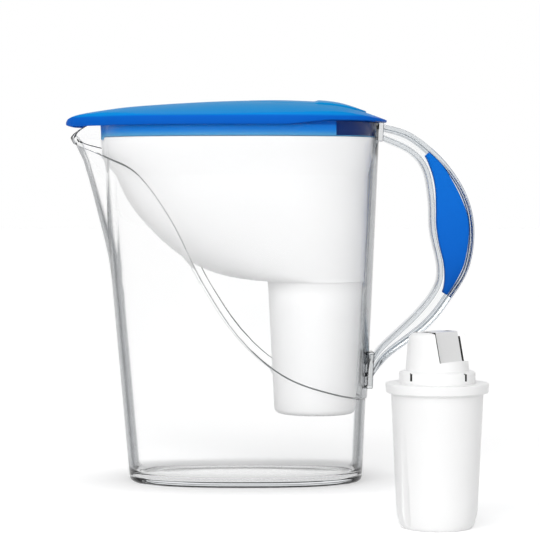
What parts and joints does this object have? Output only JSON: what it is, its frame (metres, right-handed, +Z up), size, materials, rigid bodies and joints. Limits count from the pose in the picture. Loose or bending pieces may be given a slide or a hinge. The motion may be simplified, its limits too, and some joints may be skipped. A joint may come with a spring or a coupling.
{
  "type": "water filter pitcher",
  "caption": "Clear filter jug with a drawn-out spout, bow handle, drop-in funnel, domed lid with a hinged fill flap, and its filter cartridge standing beside it.",
  "frame": {"origin": "middle of the jug's foot, on the table", "axes": "+Z up, +X from the spout to the handle, the cartridge stands on the -Y side"},
  "size_m": [0.2784, 0.2905, 0.2602],
  "materials": {
    "clear_plastic": "clear, polished",
    "blue_plastic": "gloss",
    "white_plastic": "satin, slightly translucent",
    "pin_steel": "drawn wire",
    "screen": "fine mesh",
    "bed": "granules"
  },
  "bodies": {
    "jug": {"jug_shell": "clear_plastic", "handle_frame": "clear_plastic", "grip_inlay_left": "blue_plastic", "grip_inlay_right": "blue_plastic"},
    "funnel": {"funnel": "white_plastic"},
    "lid": {"lid_shell": "blue_plastic", "flap_hinge_pin": "pin_steel"},
    "flap": {"fill_flap": "blue_plastic"},
    "cartridge": {"cartridge_cup": "white_plastic", "cartridge_cap": "white_plastic", "top_screen": "screen", "filter_bed": "bed", "bottom_screen": "screen"}
  },
  "joints": [
    {"name": "funnel_lift", "type": "slide", "parent": "jug", "child": "funnel", "axis": [0, 0, 1], "range_m": [0, 0.2]},
    {"name": "lid_lift", "type": "slide", "parent": "funnel", "child": "lid", "axis": [0, 0, 1], "range_m": [0, 0.15]},
    {"name": "flap_hinge", "type": "hinge", "parent": "lid", "child": "flap", "pos_m": [-0.002, 0, 0.25727], "axis": [0, -1, 0], "range_deg": [0, 95]},
    {"name": "cartridge_lift", "type": "slide", "parent": "jug", "child": "cartridge", "axis": [0, 0, 1], "range_m": [0, 0.15]}
  ]
}
